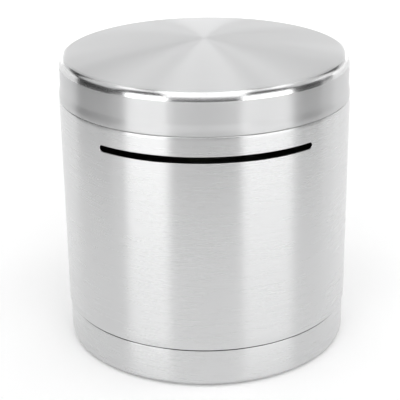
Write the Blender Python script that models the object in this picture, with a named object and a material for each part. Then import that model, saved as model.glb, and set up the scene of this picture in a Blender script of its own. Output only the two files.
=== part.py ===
"""A round stainless-steel money box: a brushed sleeve with a curved slot, a drawn base cap with a
non-slip pad, and a domed lid that slips over a collar in the sleeve's mouth.

Metres, +Z up. The origin is the centre of the face that it stands on, and the slot faces -Y.
"""

from math import acos, atan2, ceil, cos, degrees, pi, radians, sin, sqrt, tan

import bmesh
import bpy
from mathutils import Vector

MM = 0.001

# Driving dimensions
BODY_RADIUS = 60.0 * MM
SHEET = 0.6 * MM
GAP = 0.3 * MM
SLIP = 0.4 * MM
RIM_SET_IN = 0.5 * MM

FOOT_Z = 0.5 * MM
BASE_SEAM_Z = 17.0 * MM
LID_SEAM_Z = 106.45 * MM
LID_EDGE_Z = 123.4 * MM
CROWN_HEIGHT = 5.3 * MM

SLOT_Z = 97.3 * MM
SLOT_HEIGHT = 2.65 * MM
SLOT_HALF_ANGLE = radians(43.1)

# Edges of the sleeve
TOP_EDGE_ROUND = 0.3 * MM
BURR_BREAK = 0.1 * MM

# Base cap
BASE_CORNER = 2.2 * MM
FOOT_INNER_RADIUS = 54.2 * MM
RECESS_DEPTH = 2.0 * MM
RECESS_SLOPE = 0.9 * MM
RECESS_BEND = 0.9 * MM
SPIGOT_LENGTH = 6.0 * MM
JOGGLE_HEIGHT = 0.4 * MM

# Pad under the base
PAD_RADIUS = 51.8 * MM
PAD_EDGE = 0.5 * MM

# Collar in the mouth of the sleeve, and its band
COLLAR_BOTTOM_Z = 100.0 * MM
COLLAR_TOP_Z = 117.0 * MM
COLLAR_STEP = 1.0 * MM
COLLAR_STEP_TO_SEAM = 0.4 * MM
COLLAR_LIP = 1.6 * MM
COLLAR_CURL = 0.8 * MM
GROOVE_Z = 112.0 * MM
GROOVE_WIDTH = 2.8 * MM
GROOVE_DEPTH = 1.0 * MM
GROOVE_SLOPE = 0.8 * MM
BAND_WIDTH = 2.0 * MM
BAND_FLAT = 0.8 * MM
BAND_CROWN = 0.36 * MM
BAND_TO_LID = 0.15 * MM

# Lid
LID_CORNER = 3.6 * MM
LIP_STRAIGHT = 1.65 * MM
FLARE_HEIGHT = 3.64 * MM

# Fineness of the turned surfaces
TURN_STEPS = 72
SHARP_ANGLE = radians(35)
BEND_DEGREES = 32.0
SHOULDER_DEGREES = 22.0
CROWN_STEPS = 5
TOP_EDGE_STEPS = 3
SLOT_STEPS = 24
SLOT_END_STEPS = 4
CUTTER_REACH = 4.0 * MM

# Radii that follow from the driving dimensions
BODY_INNER_RADIUS = BODY_RADIUS - SHEET
RIM_RADIUS = BODY_RADIUS - RIM_SET_IN
LID_INNER_RADIUS = RIM_RADIUS - SHEET
COLLAR_RADIUS = LID_INNER_RADIUS - SLIP
GROOVE_RADIUS = COLLAR_RADIUS - GROOVE_DEPTH


def clear_scene():
    for obj in list(bpy.data.objects):
        bpy.data.objects.remove(obj, do_unlink=True)


def material(name, colour, roughness, metallic):
    made = bpy.data.materials.new(name)
    made.use_nodes = True
    shader = made.node_tree.nodes["Principled BSDF"]
    shader.inputs["Base Color"].default_value = (*colour, 1.0)
    shader.inputs["Roughness"].default_value = roughness
    shader.inputs["Metallic"].default_value = metallic
    made.diffuse_color = (*colour, 1.0)
    return made


def rounded(corners, degrees_per_step=BEND_DEGREES):
    """A polyline in (r, z) through the corners (r, z, radius), with each corner turned as an arc."""
    points = []
    for index, (r, z, radius) in enumerate(corners):
        corner = Vector((r, z))
        if radius == 0.0 or index in (0, len(corners) - 1):
            points.append(corner)
            continue
        back = (Vector(corners[index - 1][:2]) - corner).normalized()
        ahead = (Vector(corners[index + 1][:2]) - corner).normalized()
        between = acos(max(-1.0, min(1.0, back.dot(ahead))))
        reach = radius / tan(between / 2)
        centre = corner + (back + ahead).normalized() * (radius / sin(between / 2))
        first = corner + back * reach - centre
        turned = pi - between
        side = 1.0 if first.y * back.x - first.x * back.y > 0 else -1.0
        steps = max(1, ceil(degrees(turned) / degrees_per_step))
        start = atan2(first.y, first.x)
        for step in range(steps + 1):
            angle = start + side * turned * step / steps
            points.append(centre + Vector((cos(angle), sin(angle))) * radius)
    return points


def offset(path, distance):
    """The polyline moved sideways, to its left for a positive distance. Points on the axis stay on it."""
    moved = []
    for index, point in enumerate(path):
        before = path[max(index - 1, 0)]
        after = path[min(index + 1, len(path) - 1)]
        arriving = (point - before).normalized() if index else (after - point).normalized()
        leaving = (after - point).normalized() if index < len(path) - 1 else arriving
        along = (arriving + leaving).normalized()
        stretch = 1.0 / max(along.dot(arriving), 0.5)
        place = point + Vector((-along.y, along.x)) * distance * stretch
        if point.x == 0.0:
            place.x = 0.0
        moved.append(place)
    return moved


def sheet_outline(path):
    """The closed outline of a sheet of metal whose middle follows the path."""
    left = offset(path, SHEET / 2)
    right = offset(path, -SHEET / 2)
    outline = left + list(reversed(right))
    return [tuple(point) for point in outline]


def turned(name, outline, finish):
    """A solid turned round Z from a closed outline of (r, z) points."""
    mesh = bpy.data.meshes.new(name)
    shape = bmesh.new()
    ring = [shape.verts.new((r, 0.0, z)) for r, z in outline]
    edges = []
    for start, end in zip(ring, ring[1:] + ring[:1]):
        if max(start.co.x, end.co.x) > 0.0:
            edges.append(shape.edges.new((start, end)))
    bmesh.ops.spin(
        shape,
        geom=ring + edges,
        cent=(0.0, 0.0, 0.0),
        axis=(0.0, 0.0, 1.0),
        angle=2 * pi,
        steps=TURN_STEPS,
        use_merge=True,
    )
    bmesh.ops.remove_doubles(shape, verts=shape.verts, dist=1e-6)
    bmesh.ops.recalc_face_normals(shape, faces=shape.faces)
    shape.to_mesh(mesh)
    shape.free()
    mesh.shade_smooth()
    mesh.set_sharp_from_angle(angle=SHARP_ANGLE)
    mesh.materials.append(finish)
    obj = bpy.data.objects.new(name, mesh)
    bpy.context.scene.collection.objects.link(obj)
    return obj


def slot_cutter():
    """A bent bar with round ends that passes through the wall of the sleeve, for the slot."""
    half = SLOT_HEIGHT / 2
    end_angle = half / BODY_RADIUS
    straight = SLOT_HALF_ANGLE - end_angle
    stations = []
    for step in range(SLOT_END_STEPS):
        turn = (step + 0.5) / SLOT_END_STEPS * pi / 2
        stations.append((-straight - end_angle * cos(turn), half * sin(turn)))
    for step in range(SLOT_STEPS + 1):
        stations.append((straight * (2 * step / SLOT_STEPS - 1), half))
    stations += [(-angle, height) for angle, height in reversed(stations[:SLOT_END_STEPS])]

    inside = BODY_INNER_RADIUS - CUTTER_REACH
    outside = BODY_RADIUS + CUTTER_REACH
    shape = bmesh.new()
    rings = []
    for angle, height in stations:
        low = SLOT_Z - height
        high = SLOT_Z + height
        ring = []
        for radius, z in ((inside, low), (outside, low), (outside, high), (inside, high)):
            ring.append(shape.verts.new((radius * sin(angle), -radius * cos(angle), z)))
        rings.append(ring)
    for ring, following in zip(rings, rings[1:]):
        for side in range(4):
            across = (side + 1) % 4
            shape.faces.new((ring[side], ring[across], following[across], following[side]))
    shape.faces.new(rings[0])
    shape.faces.new(rings[-1])
    bmesh.ops.recalc_face_normals(shape, faces=shape.faces)
    mesh = bpy.data.meshes.new("slot_cutter")
    shape.to_mesh(mesh)
    shape.free()
    cutter = bpy.data.objects.new("slot_cutter", mesh)
    bpy.context.scene.collection.objects.link(cutter)
    cutter.hide_render = True
    cutter.display_type = "WIRE"
    return cutter


def make_base_cap(finish):
    """A drawn cup: recessed floor, standing foot, outer band, and a spigot that enters the sleeve."""
    foot = FOOT_Z + SHEET / 2
    floor = foot + RECESS_DEPTH
    band = RIM_RADIUS - SHEET / 2
    spigot = BODY_INNER_RADIUS - GAP - SHEET / 2
    path = rounded(
        [
            (0.0, floor, 0.0),
            (FOOT_INNER_RADIUS - RECESS_SLOPE, floor, RECESS_BEND),
            (FOOT_INNER_RADIUS, foot, RECESS_BEND),
            (band, foot, BASE_CORNER),
            (band, BASE_SEAM_Z - JOGGLE_HEIGHT, 0.0),
            (spigot, BASE_SEAM_Z, 0.0),
            (spigot, BASE_SEAM_Z + SPIGOT_LENGTH, 0.0),
        ]
    )
    return turned("base_cap", sheet_outline(path), finish)


def make_base_pad(finish):
    """The non-slip disc in the recess under the base; its lower face is what the box stands on."""
    top = FOOT_Z + RECESS_DEPTH - GAP
    outline = [
        (0.0, 0.0),
        (PAD_RADIUS - PAD_EDGE, 0.0),
        (PAD_RADIUS, PAD_EDGE),
        (PAD_RADIUS, top - PAD_EDGE),
        (PAD_RADIUS - PAD_EDGE, top),
        (0.0, top),
    ]
    return turned("base_pad", outline, finish)


def make_body_shell(finish):
    """The sleeve, its upper edge rounded, with the slot cut through its front."""
    bottom = BASE_SEAM_Z + GAP * 2 / 3
    top = LID_SEAM_Z - GAP / 2
    outline = [
        (BODY_INNER_RADIUS, bottom),
        (BODY_RADIUS - BURR_BREAK, bottom),
        (BODY_RADIUS, bottom + BURR_BREAK),
    ]
    for step in range(TOP_EDGE_STEPS + 1):
        turn = step / TOP_EDGE_STEPS * pi / 2
        r = BODY_RADIUS - TOP_EDGE_ROUND * (1 - cos(turn))
        outline.append((r, top - TOP_EDGE_ROUND * (1 - sin(turn))))
    outline.append((BODY_INNER_RADIUS, top))
    shell = turned("body_shell", outline, finish)
    cut = shell.modifiers.new("slot", "BOOLEAN")
    cut.operation = "DIFFERENCE"
    cut.solver = "EXACT"
    cut.object = slot_cutter()
    return shell


def make_neck_collar(finish):
    """The collar fixed in the sleeve's mouth: it guides the lid and has a rolled groove for the band."""
    seat = BODY_INNER_RADIUS - GAP - SHEET / 2
    guide = COLLAR_RADIUS - SHEET / 2
    groove = GROOVE_RADIUS - SHEET / 2
    half = GROOVE_WIDTH / 2
    step_top = LID_SEAM_Z - COLLAR_STEP_TO_SEAM
    path = rounded(
        [
            (seat, COLLAR_BOTTOM_Z, 0.0),
            (seat, step_top - COLLAR_STEP, 0.0),
            (guide, step_top, 0.0),
            (guide, GROOVE_Z - half - GROOVE_SLOPE, 0.0),
            (groove, GROOVE_Z - half, 0.0),
            (groove, GROOVE_Z + half, 0.0),
            (guide, GROOVE_Z + half + GROOVE_SLOPE, 0.0),
            (guide, COLLAR_TOP_Z - SHEET / 2, COLLAR_CURL),
            (guide - COLLAR_LIP, COLLAR_TOP_Z - SHEET / 2, 0.0),
        ]
    )
    return turned("neck_collar", sheet_outline(path), finish)


def make_neck_band(finish):
    """The soft ring in the collar's groove, crowned where the lid's wall runs over it."""
    inner = GROOVE_RADIUS + GAP
    outer = LID_INNER_RADIUS - BAND_TO_LID
    half = BAND_WIDTH / 2
    flat = BAND_FLAT / 2
    outline = [
        (inner, GROOVE_Z - half),
        (outer - BAND_CROWN, GROOVE_Z - half),
        (outer, GROOVE_Z - flat),
        (outer, GROOVE_Z + flat),
        (outer - BAND_CROWN, GROOVE_Z + half),
        (inner, GROOVE_Z + half),
    ]
    return turned("neck_band", outline, finish)


def make_lid(finish):
    """A drawn cap: spherical crown, rounded shoulder, plain side, and an edge flared to the sleeve."""
    side = RIM_RADIUS - SHEET / 2
    lip = BODY_RADIUS - SHEET / 2
    edge_z = LID_EDGE_Z - SHEET / 2
    crown_radius = (side**2 + CROWN_HEIGHT**2) / (2 * CROWN_HEIGHT)
    centre_z = edge_z + CROWN_HEIGHT - crown_radius
    corners = []
    for step in range(CROWN_STEPS + 1):
        r = side * step / CROWN_STEPS
        corners.append((r, centre_z + sqrt(crown_radius**2 - r**2), 0.0))
    corners[-1] = (*corners[-1][:2], LID_CORNER)
    flare_low = LID_SEAM_Z + LIP_STRAIGHT
    corners += [
        (side, flare_low + FLARE_HEIGHT, 0.0),
        (side * 0.6 + lip * 0.4, flare_low + FLARE_HEIGHT * 0.6, 0.0),
        (lip, flare_low, 0.0),
        (lip, LID_SEAM_Z + GAP / 2, 0.0),
    ]
    path = rounded(corners, degrees_per_step=SHOULDER_DEGREES)
    return turned("lid", sheet_outline(path), finish)


def build():
    clear_scene()
    brushed = material("brushed_steel", (0.62, 0.62, 0.61), 0.34, 1.0)
    lid_steel = material("lid_steel", (0.64, 0.64, 0.63), 0.28, 1.0)
    inner_steel = material("inner_steel", (0.58, 0.58, 0.57), 0.40, 1.0)
    silicone = material("silicone", (0.62, 0.63, 0.63), 0.55, 0.0)
    foam = material("foam_rubber", (0.03, 0.03, 0.032), 0.85, 0.0)

    make_base_cap(brushed)
    make_base_pad(foam)
    make_body_shell(brushed)
    make_neck_collar(inner_steel)
    make_neck_band(silicone)
    make_lid(lid_steel)


build()
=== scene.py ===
"""The looks of a brushed stainless-steel money box, built round its CAD frame.

Metres, +Z up, the slot faces -Y. Every piece is a sheet-metal or moulded shape turned round the
box's axis; the sleeve's wall is a grid that flows round its slot.
"""

from math import acos, atan2, ceil, cos, degrees, pi, radians, sin, sqrt, tan

import bmesh
import bpy
from mathutils import Matrix, Vector


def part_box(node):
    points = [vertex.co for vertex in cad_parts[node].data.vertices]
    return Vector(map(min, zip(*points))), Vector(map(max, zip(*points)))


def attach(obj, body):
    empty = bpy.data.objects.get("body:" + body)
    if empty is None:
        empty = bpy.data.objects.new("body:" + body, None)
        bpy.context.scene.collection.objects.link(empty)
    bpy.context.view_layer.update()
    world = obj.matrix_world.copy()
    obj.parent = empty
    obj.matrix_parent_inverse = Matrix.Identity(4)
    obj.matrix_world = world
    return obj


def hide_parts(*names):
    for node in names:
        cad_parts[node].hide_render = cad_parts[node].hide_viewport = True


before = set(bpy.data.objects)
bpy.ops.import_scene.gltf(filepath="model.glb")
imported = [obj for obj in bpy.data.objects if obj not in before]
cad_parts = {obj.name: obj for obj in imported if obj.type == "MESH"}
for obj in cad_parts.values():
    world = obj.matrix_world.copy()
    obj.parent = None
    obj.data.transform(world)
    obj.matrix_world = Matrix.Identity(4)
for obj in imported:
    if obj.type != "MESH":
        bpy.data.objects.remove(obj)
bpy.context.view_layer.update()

MM = 0.001

# Sheet and edges
SHEET = 0.6 * MM
EDGE_ROUND = 0.25 * MM
SLOT_DEBURR = 0.16 * MM
SHARP_ANGLE = radians(40.0)

# Fineness
TURN_STEPS = 360
ARC_DEGREES = 9.0
EDGE_STEPS = 6
BAND_STEPS = 16
CROWN_STEPS = 24
FLARE_STEPS = 8
MERGE_DISTANCE = 1e-6

# The grid round the slot
SLOT_END_STEPS = 16
SLOT_FRAME = 2.4 * MM
OUTER_RINGS = (0.7, 0.45, 0.28, 0.16)
INNER_RINGS = (0.3, 0.6)
OUTER_DEBURR_STEPS = 5
INNER_DEBURR_STEPS = 3
ROWS_BELOW_SLOT = 24
ROWS_ABOVE_SLOT = 4

# The frame's own sizes
SHELL_LOW, SHELL_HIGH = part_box("body_shell")
CAP_LOW, CAP_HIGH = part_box("base_cap")
PAD_LOW, PAD_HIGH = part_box("base_pad")
COLLAR_LOW, COLLAR_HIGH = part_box("neck_collar")
BAND_LOW, BAND_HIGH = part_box("neck_band")
LID_LOW, LID_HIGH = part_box("lid")
BODY_RADIUS = SHELL_HIGH.x
RIM_RADIUS = CAP_HIGH.x
LID_SEAM_Z = (SHELL_HIGH.z + LID_LOW.z) / 2
BASE_SEAM_Z = SHELL_LOW.z

# Sleeve
SLEEVE_DROP = 0.1 * MM
SLEEVE_RISE = 0.08 * MM

# Base cap
BASE_CORNER = 2.2 * MM
FOOT_INNER_RADIUS = 54.2 * MM
RECESS_DEPTH = 2.0 * MM
RECESS_SLOPE = 0.9 * MM
RECESS_BEND = 0.9 * MM
JOGGLE_HEIGHT = 0.35 * MM
SEAM_OPENING = 0.75 * MM
SPIGOT_BEND = 0.35 * MM
SPIGOT_CLEARANCE = 0.2 * MM
PAD_EDGE = 0.5 * MM

# Collar and band
COLLAR_JOGGLE = 1.0 * MM
COLLAR_BELOW_MOUTH = 0.3 * MM
COLLAR_BEND = 0.5 * MM
GROOVE_WIDTH = 2.8 * MM
GROOVE_DEPTH = 1.0 * MM
GROOVE_SLOPE = 0.8 * MM
COLLAR_LIP = 1.6 * MM
COLLAR_CURL = 0.9 * MM
BAND_PROUD = 0.25 * MM
BAND_DEPTH = 0.95 * MM
BAND_CROWN = 0.35 * MM

# Lid
CROWN_HEIGHT = 5.3 * MM
LID_CORNER = 2.9 * MM
LEAN = radians(16.0)
LEAN_HEIGHT = 3.4 * MM
LEAN_RADIUS = 9.0 * MM
CORNER_REACH = 1.2
LIP_STRAIGHT = 1.5 * MM
FLARE_HEIGHT = 3.6 * MM
LID_SEAM_OPENING = 0.08 * MM

# Camera
CAMERA_AIM = Vector((-2.45, 0.0, 57.5)) * MM
CAMERA_AZIMUTH = radians(-0.35)
CAMERA_DISTANCE = 526.3 * MM
CAMERA_ELEVATION = radians(21.9)
CAMERA_ROLL = radians(-0.72)
CAMERA_LENS = 110.1

# Where each finish starts and ends
WALL_SHARE = 0.7
# how far above the base seam the painted shade of the seam's gap reaches
PAINTED_SHADE_RISE = 1.0 * MM
UPWARD = 0.9
LEVEL = 0.5
UNDERSIDE = -0.3
TOP_FINISH = 0.86
SHOULDER_FINISH = 0.1
SHOULDER_DROP = 10.0 * MM

# Brushing
FINE_TURNS = 5.0
FINE_PITCH = 0.2 * MM
LONG_TURNS = 1.6
LONG_PITCH = 0.9 * MM
FINE_SHARE = 0.65
SMUDGE_SCALE = 38.0
SMUDGE = 0.02
STREAK = 0.05
BRUSHING_DEPTH = 0.0015 * MM
BRUSHING_STRENGTH = 0.5

# Soft materials
CLOUD_SCALE = 90.0
CLOUD_DARK = 0.82
CLOUD_LIGHT = 1.15
CLOUD_ROUGHNESS = 0.06
PEBBLE_STRENGTH = 0.7

# Studio
STUDIO_RADIUS = 2.0
FLOOR_REACH = 6.0
FLOOR_GLOW = 0.1
FAR_FLOOR_GLOW = 0.8
FLOOR_FADE_START = 0.3
FLOOR_FADE_END = 1.3


# ---------------------------------------------------------------- outlines in (r, z)


def rounded(corners):
    """A polyline in (r, z) through the corners (r, z, radius), with each corner turned as an arc."""
    points = []
    for index, (r, z, radius) in enumerate(corners):
        corner = Vector((r, z))
        if radius == 0.0 or index in (0, len(corners) - 1):
            points.append(corner)
            continue
        back = (Vector(corners[index - 1][:2]) - corner).normalized()
        ahead = (Vector(corners[index + 1][:2]) - corner).normalized()
        between = acos(max(-1.0, min(1.0, back.dot(ahead))))
        centre = corner + (back + ahead).normalized() * (radius / sin(between / 2))
        first = corner + back * (radius / tan(between / 2)) - centre
        turned_by = pi - between
        side = 1.0 if first.y * back.x - first.x * back.y > 0 else -1.0
        steps = max(1, ceil(degrees(turned_by) / ARC_DEGREES))
        start = atan2(first.y, first.x)
        for step in range(steps + 1):
            angle = start + side * turned_by * step / steps
            points.append(centre + Vector((cos(angle), sin(angle))) * radius)
    return points


def offset(path, distance):
    """The polyline moved to its left by the distance. A point on the axis stays on it."""
    moved = []
    for index, point in enumerate(path):
        before = path[max(index - 1, 0)]
        after = path[min(index + 1, len(path) - 1)]
        arriving = (point - before).normalized() if index else (after - point).normalized()
        leaving = (after - point).normalized() if index < len(path) - 1 else arriving
        along = (arriving + leaving).normalized()
        place = point + Vector((-along.y, along.x)) * distance / max(along.dot(arriving), 0.5)
        if point.x == 0.0:
            place.x = 0.0
        moved.append(place)
    return moved


def edge_arc(path):
    """Points round the sheet's free edge at the path's end, from its left side to its right."""
    end = path[-1]
    along = (end - path[-2]).normalized()
    left = Vector((-along.y, along.x))
    centre = end - along * EDGE_ROUND
    core = SHEET / 2 - EDGE_ROUND
    points = []
    for step in range(EDGE_STEPS + 1):
        turn = pi * step / EDGE_STEPS
        side = 1.0 if step < EDGE_STEPS / 2 else -1.0
        middle = 0.0 if step == EDGE_STEPS / 2 else side * core
        points.append(centre + left * (middle + EDGE_ROUND * cos(turn)) + along * EDGE_ROUND * sin(turn))
    return points


def sheet_outline(path):
    """The closed outline of a sheet whose middle follows the path, with its free edges rounded."""
    outline = offset(path, SHEET / 2)[:-1] + edge_arc(path)
    outline += list(reversed(offset(path, -SHEET / 2)))[1:]
    if path[0].x == 0.0:
        return outline
    backwards = list(reversed(path))
    return outline[1:-1] + edge_arc(backwards)


# ---------------------------------------------------------------- meshes


def finish_mesh(name, shape):
    """Merges coincident points, turns the faces outwards, and makes the object, shaded smooth."""
    bmesh.ops.remove_doubles(shape, verts=shape.verts, dist=MERGE_DISTANCE)
    bmesh.ops.recalc_face_normals(shape, faces=shape.faces)
    mesh = bpy.data.meshes.new(name)
    shape.to_mesh(mesh)
    shape.free()
    mesh.shade_smooth()
    mesh.set_sharp_from_angle(angle=SHARP_ANGLE)
    obj = bpy.data.objects.new(name, mesh)
    bpy.context.scene.collection.objects.link(obj)
    return obj


def at(angle, r, z):
    """The point at an angle from the front (-Y) towards +X."""
    return (r * sin(angle), -r * cos(angle), z)


def add_strip(shape, angles, outline, closed_round=False):
    """Quads between neighbouring angles and neighbouring (r, z) points of the outline."""
    columns = [[shape.verts.new(at(angle, *point)) for point in outline] for angle in angles]
    pairs = list(zip(columns, columns[1:]))
    if closed_round:
        pairs.append((columns[-1], columns[0]))
    for left, right in pairs:
        for index in range(len(outline) - 1):
            shape.faces.new((left[index], right[index], right[index + 1], left[index + 1]))


def turned(name, outline):
    """A solid turned round Z from a closed outline of (r, z) points; a side on the axis is left out."""
    points = [tuple(point) for point in outline]
    if min(r for r, z in points) > 0.0:
        points.append(points[0])
    shape = bmesh.new()
    angles = [2 * pi * step / TURN_STEPS for step in range(TURN_STEPS)]
    add_strip(shape, angles, points, closed_round=True)
    return finish_mesh(name, shape)


def even_steps(first, last, count):
    """The values from the first to the last, in that many equal steps."""
    return [first + (last - first) * step / count for step in range(count + 1)]


def slot_of_frame():
    """(lowest z, highest z, half angle) of the slot in the frame's sleeve."""
    inside = []
    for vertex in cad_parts["body_shell"].data.vertices:
        if SHELL_LOW.z + 5 * MM < vertex.co.z < SHELL_HIGH.z - 2 * MM:
            inside.append(vertex.co)
    heights = [co.z for co in inside]
    angles = [atan2(co.x, -co.y) for co in inside]
    return min(heights), max(heights), max(angles)


def make_sleeve():
    """The sleeve: a tube with rounded edges, whose wall is a grid that closes in round the slot."""
    low, high, half_angle = slot_of_frame()
    centre_z = (low + high) / 2
    half = (high - low) / 2
    straight = half_angle - half / BODY_RADIUS
    reach = half + SLOT_FRAME
    frame_angle = straight + reach / BODY_RADIUS

    straight_steps = round(2 * degrees(straight) * TURN_STEPS / 360)
    straight_angles = even_steps(-straight, straight, straight_steps)
    quarter = SLOT_END_STEPS // 4
    fan = [tan(pi / 4 * k / quarter) for k in range(1, quarter)]
    flanks = [straight + share * reach / BODY_RADIUS for share in fan] + [frame_angle]
    front = [-angle for angle in reversed(flanks)] + straight_angles + flanks
    back_steps = round((2 * pi - 2 * frame_angle) / (2 * pi) * TURN_STEPS)
    back = even_steps(frame_angle, 2 * pi - frame_angle, back_steps)
    shares = [-1.0] + [-share for share in reversed(fan)] + [0.0] + fan + [1.0]
    middle_z = [centre_z + share * reach for share in shares]

    inner = BODY_RADIUS - SHEET
    bottom = BASE_SEAM_Z - SLEEVE_DROP
    top = SHELL_HIGH.z + SLEEVE_RISE
    outer_path = [Vector((BODY_RADIUS - SHEET / 2, bottom)), Vector((BODY_RADIUS - SHEET / 2, top))]
    top_edge = edge_arc(outer_path)
    bottom_edge = edge_arc(list(reversed(outer_path)))
    low_rows = even_steps(bottom + EDGE_ROUND, centre_z - reach, ROWS_BELOW_SLOT)
    high_rows = even_steps(centre_z + reach, top - EDGE_ROUND, ROWS_ABOVE_SLOT)

    shape = bmesh.new()
    around = front + back[1:-1]
    for radius in (BODY_RADIUS, inner):
        add_strip(shape, around, [(radius, z) for z in low_rows], closed_round=True)
        add_strip(shape, around, [(radius, z) for z in high_rows], closed_round=True)
        add_strip(shape, back, [(radius, z) for z in middle_z])
    for edge in (top_edge, bottom_edge):
        add_strip(shape, around, [tuple(point) for point in edge], closed_round=True)

    def loop(spread, radius):
        """Points round the slot, that far outside its edge; the widest are on the grid's square frame."""
        points = [(angle, radius, centre_z + half + spread) for angle in straight_angles]
        for step in range(1, SLOT_END_STEPS):
            turn = pi * step / SLOT_END_STEPS
            if spread < SLOT_FRAME:
                across, up = (half + spread) * sin(turn), (half + spread) * cos(turn)
            else:
                largest = max(abs(sin(turn)), abs(cos(turn)))
                across, up = reach * sin(turn) / largest, reach * cos(turn) / largest
            points.append((straight + across / BODY_RADIUS, radius, centre_z + up))
        points += [(-angle, r, 2 * centre_z - z) for angle, r, z in points]
        return points

    loops = [loop(SLOT_FRAME, BODY_RADIUS)]
    loops += [loop(SLOT_FRAME * share, BODY_RADIUS) for share in OUTER_RINGS]
    for turn in even_steps(0.0, pi / 2, OUTER_DEBURR_STEPS):
        loops.append(loop(SLOT_DEBURR * (1 - sin(turn)), BODY_RADIUS - SLOT_DEBURR * (1 - cos(turn))))
    for turn in even_steps(0.0, pi / 2, INNER_DEBURR_STEPS):
        loops.append(loop(SLOT_DEBURR * (1 - cos(turn)), inner + SLOT_DEBURR * (1 - sin(turn))))
    loops += [loop(SLOT_FRAME * share, inner) for share in INNER_RINGS]
    loops.append(loop(SLOT_FRAME, inner))
    rings = [[shape.verts.new(at(*point)) for point in points] for points in loops]
    for ring, following in zip(rings, rings[1:]):
        for index in range(len(ring)):
            after = (index + 1) % len(ring)
            shape.faces.new((ring[index], ring[after], following[after], following[index]))
    return finish_mesh("sleeve", shape)


def make_base():
    """The drawn base cap: recessed floor, standing foot, band, and the spigot inside the sleeve."""
    foot = CAP_LOW.z + SHEET / 2
    floor = foot + RECESS_DEPTH
    band = RIM_RADIUS - SHEET / 2
    spigot = BODY_RADIUS - 1.5 * SHEET - SPIGOT_CLEARANCE
    shoulder = BASE_SEAM_Z - SLEEVE_DROP - SEAM_OPENING
    path = rounded(
        [
            (0.0, floor, 0.0),
            (FOOT_INNER_RADIUS - RECESS_SLOPE, floor, RECESS_BEND),
            (FOOT_INNER_RADIUS, foot, RECESS_BEND),
            (band, foot, BASE_CORNER),
            (band, shoulder, SPIGOT_BEND),
            (spigot, shoulder + JOGGLE_HEIGHT, SPIGOT_BEND),
            (spigot, CAP_HIGH.z, 0.0),
        ]
    )
    return turned("base", sheet_outline(path))


def make_pad():
    """The non-slip disc under the base, with softened edges."""
    radius = PAD_HIGH.x
    top = PAD_HIGH.z
    corners = [(0.0, 0.0, 0.0), (radius, 0.0, PAD_EDGE), (radius, top, PAD_EDGE), (0.0, top, 0.0)]
    return turned("non_slip_pad", rounded(corners))


def make_collar():
    """The collar in the sleeve's mouth, with its rolled groove and curled-in top edge."""
    seat = COLLAR_HIGH.x - SHEET / 2
    guide = BAND_HIGH.x - BAND_PROUD - SHEET / 2
    groove = guide - GROOVE_DEPTH
    middle = (BAND_LOW.z + BAND_HIGH.z) / 2
    half = GROOVE_WIDTH / 2
    top = COLLAR_HIGH.z - SHEET / 2
    mouth = SHELL_HIGH.z - COLLAR_BELOW_MOUTH
    path = rounded(
        [
            (seat, COLLAR_LOW.z, 0.0),
            (seat, mouth - COLLAR_JOGGLE, COLLAR_BEND),
            (guide, mouth, COLLAR_BEND),
            (guide, middle - half - GROOVE_SLOPE, COLLAR_BEND),
            (groove, middle - half, COLLAR_BEND),
            (groove, middle + half, COLLAR_BEND),
            (guide, middle + half + GROOVE_SLOPE, COLLAR_BEND),
            (guide, top, COLLAR_CURL),
            (guide - COLLAR_LIP, top, 0.0),
        ]
    )
    return turned("collar", sheet_outline(path))


def make_band():
    """The silicone band in the groove, with a crowned outer face."""
    middle = (BAND_LOW.z + BAND_HIGH.z) / 2
    half = (BAND_HIGH.z - BAND_LOW.z) / 2
    inner = BAND_HIGH.x - BAND_DEPTH
    side = BAND_HIGH.x - BAND_CROWN
    outline = []
    for turn in even_steps(-pi / 2, pi / 2, BAND_STEPS):
        outline.append(Vector((side + BAND_CROWN * cos(turn), middle + half * sin(turn))))
    for height in (1.0, 0.5, 0.0, -0.5, -1.0):
        outline.append(Vector((inner, middle + half * height)))
    return turned("band", outline)


def make_lid():
    """The drawn lid: spherical crown, shoulder that leans into the side, and a lip flared to the sleeve."""
    side = RIM_RADIUS - SHEET / 2
    lip = BODY_RADIUS - SHEET / 2
    apex = LID_HIGH.z - SHEET / 2
    crown_radius = (side**2 + CROWN_HEIGHT**2) / (2 * CROWN_HEIGHT)
    crown_edge = side - LEAN_HEIGHT * tan(LEAN)
    corners = []
    for r in even_steps(0.0, crown_edge, CROWN_STEPS):
        corners.append((r, apex - crown_radius + sqrt(crown_radius**2 - r**2), 0.0))
    shoulder = corners[-1][1]
    corners[-1] = (crown_edge, shoulder, LID_CORNER)
    corners.append((side, shoulder - LEAN_HEIGHT, LEAN_RADIUS))
    bottom = LID_SEAM_Z + LID_SEAM_OPENING / 2
    flare_low = bottom + LIP_STRAIGHT
    corners.append((side, flare_low + FLARE_HEIGHT, 0.0))
    for step in range(1, FLARE_STEPS):
        share = step / FLARE_STEPS
        ease = share * share * (3 - 2 * share)
        corners.append((side + (lip - side) * ease, flare_low + FLARE_HEIGHT * (1 - share), 0.0))
    corners.append((lip, flare_low, 0.0))
    corners.append((lip, bottom, 0.0))
    # the crown's outermost points lie inside the corner's arc, so they are dropped
    reach = LID_CORNER * CORNER_REACH
    kept = [corner for corner in corners if corner[2] or not crown_edge - reach < corner[0] < side]
    return turned("lid_cap", sheet_outline(rounded(kept)))


# ---------------------------------------------------------------- materials


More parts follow.
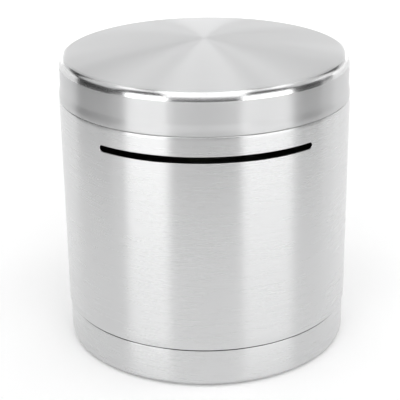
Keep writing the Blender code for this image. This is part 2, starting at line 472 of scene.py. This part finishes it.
class Nodes:
    """A short way to lay out a material's nodes."""

    def __init__(self, name):
        self.material = bpy.data.materials.new(name)
        self.material.use_nodes = True
        self.tree = self.material.node_tree
        self.shader = self.tree.nodes["Principled BSDF"]

    def add(self, kind, **settings):
        node = self.tree.nodes.new(kind)
        for key, value in settings.items():
            setattr(node, key, value)
        return node

    def link(self, source, target):
        self.tree.links.new(source, target)

    def maths(self, operation, first, second):
        node = self.add("ShaderNodeMath", operation=operation)
        for socket, value in zip(node.inputs, (first, second)):
            if isinstance(value, (int, float)):
                socket.default_value = value
            else:
                self.link(value, socket)
        return node.outputs[0]

    def spread(self, value, low, high):
        """The value, taken from 0..1 to low..high."""
        node = self.add("ShaderNodeMapRange")
        node.inputs["To Min"].default_value = low
        node.inputs["To Max"].default_value = high
        self.link(value, node.inputs["Value"])
        return node.outputs["Result"]


def turning_coordinates(nodes, round_count, line_pitch):
    """Coordinates for marks that run round the axis: slow along the turn, fast across it."""
    place = nodes.add("ShaderNodeTexCoord").outputs["Object"]
    split = nodes.add("ShaderNodeSeparateXYZ")
    nodes.link(place, split.inputs[0])
    flat = nodes.add("ShaderNodeCombineXYZ")
    nodes.link(split.outputs["X"], flat.inputs["X"])
    nodes.link(split.outputs["Y"], flat.inputs["Y"])
    length = nodes.add("ShaderNodeVectorMath", operation="LENGTH")
    nodes.link(flat.outputs[0], length.inputs[0])
    unit = nodes.add("ShaderNodeVectorMath", operation="NORMALIZE")
    nodes.link(flat.outputs[0], unit.inputs[0])
    heading = nodes.add("ShaderNodeSeparateXYZ")
    nodes.link(unit.outputs[0], heading.inputs[0])
    across = nodes.maths("SUBTRACT", split.outputs["Z"], length.outputs["Value"])
    joined = nodes.add("ShaderNodeCombineXYZ")
    nodes.link(nodes.maths("MULTIPLY", heading.outputs["X"], round_count), joined.inputs["X"])
    nodes.link(nodes.maths("MULTIPLY", heading.outputs["Y"], round_count), joined.inputs["Y"])
    nodes.link(nodes.maths("DIVIDE", across, line_pitch), joined.inputs["Z"])
    return joined.outputs[0]


def noise(nodes, coordinates, scale=1.0, detail=2.0, roughness=0.5):
    node = nodes.add("ShaderNodeTexNoise")
    node.inputs["Scale"].default_value = scale
    node.inputs["Detail"].default_value = detail
    node.inputs["Roughness"].default_value = roughness
    nodes.link(coordinates, node.inputs["Vector"])
    return node.outputs["Fac"]


def brushed_steel(name, colour, roughness, anisotropy, contrast):
    """Stainless steel brushed round the axis: fine lines, longer faint bands, slight smudges."""
    nodes = Nodes(name)
    fine_place = turning_coordinates(nodes, FINE_TURNS, FINE_PITCH)
    fine = noise(nodes, fine_place, detail=3.0, roughness=0.6)
    long_lines = noise(nodes, turning_coordinates(nodes, LONG_TURNS, LONG_PITCH))
    place = nodes.add("ShaderNodeTexCoord").outputs["Object"]
    smudge = noise(nodes, place, scale=SMUDGE_SCALE, detail=3.0)
    fine_share = nodes.maths("MULTIPLY", fine, FINE_SHARE)
    grain = nodes.maths("ADD", fine_share, nodes.maths("MULTIPLY", long_lines, 1 - FINE_SHARE))

    tint = nodes.add("ShaderNodeMix", data_type="RGBA")
    darker = [channel * (1 - contrast) for channel in colour]
    lighter = [channel * (1 + contrast) for channel in colour]
    tint.inputs["A"].default_value = (*darker, 1.0)
    tint.inputs["B"].default_value = (*lighter, 1.0)
    nodes.link(grain, tint.inputs["Factor"])
    nodes.link(tint.outputs["Result"], nodes.shader.inputs["Base Color"])

    streaked = nodes.spread(grain, roughness - STREAK, roughness + STREAK)
    rough = nodes.maths("ADD", streaked, nodes.spread(smudge, -SMUDGE, SMUDGE))
    nodes.link(rough, nodes.shader.inputs["Roughness"])

    bump = nodes.add("ShaderNodeBump")
    bump.inputs["Strength"].default_value = BRUSHING_STRENGTH
    bump.inputs["Distance"].default_value = BRUSHING_DEPTH
    nodes.link(fine, bump.inputs["Height"])
    nodes.link(bump.outputs[0], nodes.shader.inputs["Normal"])

    tangent = nodes.add("ShaderNodeTangent", direction_type="RADIAL", axis="Z")
    nodes.link(tangent.outputs[0], nodes.shader.inputs["Tangent"])
    nodes.shader.inputs["Metallic"].default_value = 1.0
    nodes.shader.inputs["Anisotropic"].default_value = anisotropy
    nodes.shader.inputs["Anisotropic Rotation"].default_value = 0.25
    return nodes.material


def soft_material(name, colour, roughness, grain_size, depth):
    """A matt moulded or foamed material with a fine pebbled surface."""
    nodes = Nodes(name)
    place = nodes.add("ShaderNodeTexCoord").outputs["Object"]
    cells = nodes.add("ShaderNodeTexVoronoi")
    cells.inputs["Scale"].default_value = 1.0 / grain_size
    nodes.link(place, cells.inputs["Vector"])
    cloud = noise(nodes, place, scale=CLOUD_SCALE, detail=3.0)
    tint = nodes.add("ShaderNodeMix", data_type="RGBA")
    tint.inputs["A"].default_value = (*[channel * CLOUD_DARK for channel in colour], 1.0)
    tint.inputs["B"].default_value = (*[channel * CLOUD_LIGHT for channel in colour], 1.0)
    nodes.link(cloud, tint.inputs["Factor"])
    nodes.link(tint.outputs["Result"], nodes.shader.inputs["Base Color"])
    rough = nodes.spread(cloud, roughness - CLOUD_ROUGHNESS, roughness + CLOUD_ROUGHNESS)
    nodes.link(rough, nodes.shader.inputs["Roughness"])
    bump = nodes.add("ShaderNodeBump")
    bump.inputs["Strength"].default_value = PEBBLE_STRENGTH
    bump.inputs["Distance"].default_value = depth
    nodes.link(cells.outputs["Distance"], bump.inputs["Height"])
    nodes.link(bump.outputs[0], nodes.shader.inputs["Normal"])
    return nodes.material


# ---------------------------------------------------------------- pieces on their bodies


def place_piece(obj, body, node, materials):
    for made in materials:
        obj.data.materials.append(made)
    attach(obj, body)
    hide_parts(node)
    return obj


def paint(obj, index, chosen):
    """Gives the material of that index to the faces that the test picks."""
    for polygon in obj.data.polygons:
        if chosen(polygon):
            polygon.material_index = index


def build_object():
    body_steel = brushed_steel("body_steel", (0.655, 0.657, 0.66), 0.28, 0.95, 0.03)
    lid_steel = brushed_steel("lid_steel", (0.655, 0.657, 0.66), 0.40, 0.98, 0.025)
    top_steel = brushed_steel("top_steel", (0.655, 0.657, 0.66), 0.40, 0.95, 0.025)
    shoulder_steel = brushed_steel("shoulder_steel", (0.665, 0.667, 0.67), 0.23, 0.8, 0.02)
    inner_steel = brushed_steel("inner_steel", (0.52, 0.52, 0.515), 0.42, 0.3, 0.03)
    silicone = soft_material("silicone", (0.55, 0.56, 0.56), 0.5, 0.5 * MM, 0.01 * MM)
    # near-black painted shade for the base seam's gap, standing in for the shade inside the gap
    gap_shade_paint = soft_material("seam_painted_shade", (0.03, 0.03, 0.03), 0.8, 0.5 * MM, 0.01 * MM)
    foam = soft_material("foam_rubber", (0.035, 0.035, 0.037), 0.85, 0.6 * MM, 0.06 * MM)

    sleeve = place_piece(make_sleeve(), "box", "body_shell", (body_steel, inner_steel))
    wall = BODY_RADIUS - SHEET * WALL_SHARE
    paint(sleeve, 1, lambda face: face.center.xy.length < wall)
    base = place_piece(make_base(), "box", "base_cap", (body_steel, inner_steel, gap_shade_paint))
    paint(base, 1, lambda face: face.normal.z > LEVEL or face.normal.dot(face.center) < 0)
    # faces in and just above the seam's gap get the near-black painted shade, not real dirt
    gap = BASE_SEAM_Z - SEAM_OPENING
    painted_shade_top = BASE_SEAM_Z + PAINTED_SHADE_RISE
    paint(base, 2, lambda face: gap < face.center.z < painted_shade_top and face.normal.z < UPWARD)
    place_piece(make_pad(), "box", "base_pad", (foam,))
    place_piece(make_collar(), "box", "neck_collar", (inner_steel,))
    place_piece(make_band(), "band", "neck_band", (silicone,))
    finishes = (lid_steel, inner_steel, top_steel, shoulder_steel)
    lid = place_piece(make_lid(), "lid", "lid", finishes)
    paint(lid, 1, lambda face: face.normal.z < UNDERSIDE or face.normal.xy.dot(face.center.xy) < 0)
    paint(lid, 2, lambda face: face.normal.z > TOP_FINISH)
    low = LID_HIGH.z - SHOULDER_DROP
    paint(lid, 3, lambda face: SHOULDER_FINISH < face.normal.z < TOP_FINISH and face.center.z > low)


# ---------------------------------------------------------------- studio


def make_floor():
    """A wide pale floor, which the camera sees fade to white far from the box."""
    mesh = bpy.data.meshes.new("floor")
    signs = ((-1, -1), (1, -1), (1, 1), (-1, 1))
    mesh.from_pydata([(x * FLOOR_REACH, y * FLOOR_REACH, 0.0) for x, y in signs], [], [(0, 1, 2, 3)])
    floor = bpy.data.objects.new("floor", mesh)
    bpy.context.scene.collection.objects.link(floor)
    nodes = Nodes("floor")
    nodes.shader.inputs["Base Color"].default_value = (0.9, 0.9, 0.9, 1.0)
    nodes.shader.inputs["Roughness"].default_value = 0.9
    nodes.shader.inputs["Specular IOR Level"].default_value = 0.0
    nodes.shader.inputs["Emission Color"].default_value = (1.0, 1.0, 1.0, 1.0)
    place = nodes.add("ShaderNodeTexCoord").outputs["Object"]
    away = nodes.add("ShaderNodeVectorMath", operation="LENGTH")
    nodes.link(place, away.inputs[0])
    fade = nodes.add("ShaderNodeMapRange", interpolation_type="SMOOTHSTEP")
    fade.inputs["From Min"].default_value = FLOOR_FADE_START
    fade.inputs["From Max"].default_value = FLOOR_FADE_END
    fade.inputs["To Max"].default_value = FAR_FLOOR_GLOW
    nodes.link(away.outputs["Value"], fade.inputs["Value"])
    seen = nodes.add("ShaderNodeLightPath").outputs["Is Camera Ray"]
    far_glow = nodes.maths("MULTIPLY", fade.outputs["Result"], seen)
    nodes.link(nodes.maths("ADD", far_glow, FLOOR_GLOW), nodes.shader.inputs["Emission Strength"])
    mesh.materials.append(nodes.material)


def add_dark_card(name, azimuth, away, wide, top):
    """A black card on the floor that only the steel's reflections show. Azimuths as for a softbox."""
    mesh = bpy.data.meshes.new(name)
    half = wide / 2
    mesh.from_pydata([(-half, 0, 0), (half, 0, 0), (half, 0, top), (-half, 0, top)], [], [(0, 1, 2, 3)])
    card = bpy.data.objects.new(name, mesh)
    turn = radians(azimuth)
    card.location = (away * sin(turn), -away * cos(turn), 0.0)
    card.rotation_euler = (0.0, 0.0, turn)
    bpy.context.scene.collection.objects.link(card)
    nodes = Nodes(name)
    nodes.shader.inputs["Base Color"].default_value = (0.02, 0.02, 0.02, 1.0)
    nodes.shader.inputs["Specular IOR Level"].default_value = 0.0
    mesh.materials.append(nodes.material)
    card.visible_camera = False
    card.visible_diffuse = False
    card.visible_shadow = False
    card.visible_transmission = False


def add_softbox(name, azimuth, elevation, wide, high, radiance):
    """A rectangular light that faces the box. Azimuth 0 is the front, 90 is +X; its size is in degrees."""
    light = bpy.data.lights.new(name, "AREA")
    light.shape = "RECTANGLE"
    light.size = 2 * STUDIO_RADIUS * tan(radians(wide / 2))
    light.size_y = 2 * STUDIO_RADIUS * tan(radians(high / 2))
    light.energy = radiance * light.size * light.size_y * pi
    obj = bpy.data.objects.new(name, light)
    level = cos(radians(elevation))
    direction = Vector(
        (sin(radians(azimuth)) * level, -cos(radians(azimuth)) * level, sin(radians(elevation)))
    )
    obj.location = direction * STUDIO_RADIUS
    obj.rotation_euler = direction.to_track_quat("Z", "Y").to_euler()
    obj.visible_camera = False
    bpy.context.scene.collection.objects.link(obj)


def light_studio():
    """Low boxes left and right of the camera, soft panels above and behind, and dark cards on the floor.

    The world is white to the camera alone, so that it neither lights the box nor shows in the steel.
    """
    world = bpy.data.worlds.new("studio")
    world.use_nodes = True
    sky = world.node_tree.nodes["Background"]
    sky.inputs["Color"].default_value = (1.0, 1.0, 1.0, 1.0)
    seen = world.node_tree.nodes.new("ShaderNodeLightPath").outputs["Is Camera Ray"]
    world.node_tree.links.new(seen, sky.inputs["Strength"])
    bpy.context.scene.world = world
    add_softbox("softbox_left", -45.0, 7.0, 33.0, 14.0, 4.7)
    add_softbox("softbox_right", 48.0, 7.0, 40.0, 14.0, 3.9)
    add_softbox("softbox_front", 0.0, 34.0, 56.0, 32.0, 1.8)
    add_softbox("overhead_left", -55.0, 62.0, 50.0, 22.0, 1.1)
    add_softbox("overhead_right", 55.0, 62.0, 50.0, 22.0, 1.2)
    add_softbox("overhead_front", 0.0, 62.0, 50.0, 22.0, 1.1)
    add_softbox("side_high_left", -97.0, 42.0, 44.0, 38.0, 0.8)
    add_softbox("side_high_right", 97.0, 42.0, 44.0, 38.0, 0.8)
    add_softbox("overhead", 0.0, 82.0, 40.0, 18.0, 1.7)
    add_softbox("side_right", 108.0, 20.0, 32.0, 18.0, 0.9)
    add_softbox("behind_low_left", -140.0, 6.0, 50.0, 12.0, 0.95)
    add_softbox("behind_low", 180.0, 6.0, 60.0, 12.0, 1.15)
    add_softbox("behind_low_right", 140.0, 6.0, 50.0, 12.0, 1.15)
    add_softbox("behind_middle", 180.0, 20.0, 130.0, 16.0, 0.8)
    add_softbox("behind_high", 180.0, 50.0, 60.0, 48.0, 1.2)
    add_dark_card("card_left", -91.0, 600 * MM, 400 * MM, 310 * MM)
    add_dark_card("card_right", 84.0, 600 * MM, 265 * MM, 290 * MM)
    add_dark_card("card_front", 0.0, 430 * MM, 380 * MM, 150 * MM)


def add_camera():
    data = bpy.data.cameras.new("camera")
    data.sensor_width = 36.0
    data.lens = CAMERA_LENS
    data.dof.use_dof = False
    camera = bpy.data.objects.new("camera", data)
    level = cos(CAMERA_ELEVATION)
    back = Vector((sin(CAMERA_AZIMUTH) * level, -cos(CAMERA_AZIMUTH) * level, sin(CAMERA_ELEVATION)))
    place = Vector((0.0, 0.0, CAMERA_AIM.z)) + back * CAMERA_DISTANCE
    ahead = (CAMERA_AIM - place).to_track_quat("-Z", "Y").to_matrix()
    turn = ahead @ Matrix.Rotation(CAMERA_ROLL, 3, "Z")
    camera.matrix_world = Matrix.Translation(place) @ turn.to_4x4()
    bpy.context.scene.collection.objects.link(camera)
    bpy.context.scene.camera = camera


build_object()
make_floor()
light_studio()
add_camera()
bpy.context.scene.view_settings.view_transform = "Standard"
bpy.context.scene.view_settings.look = "None"
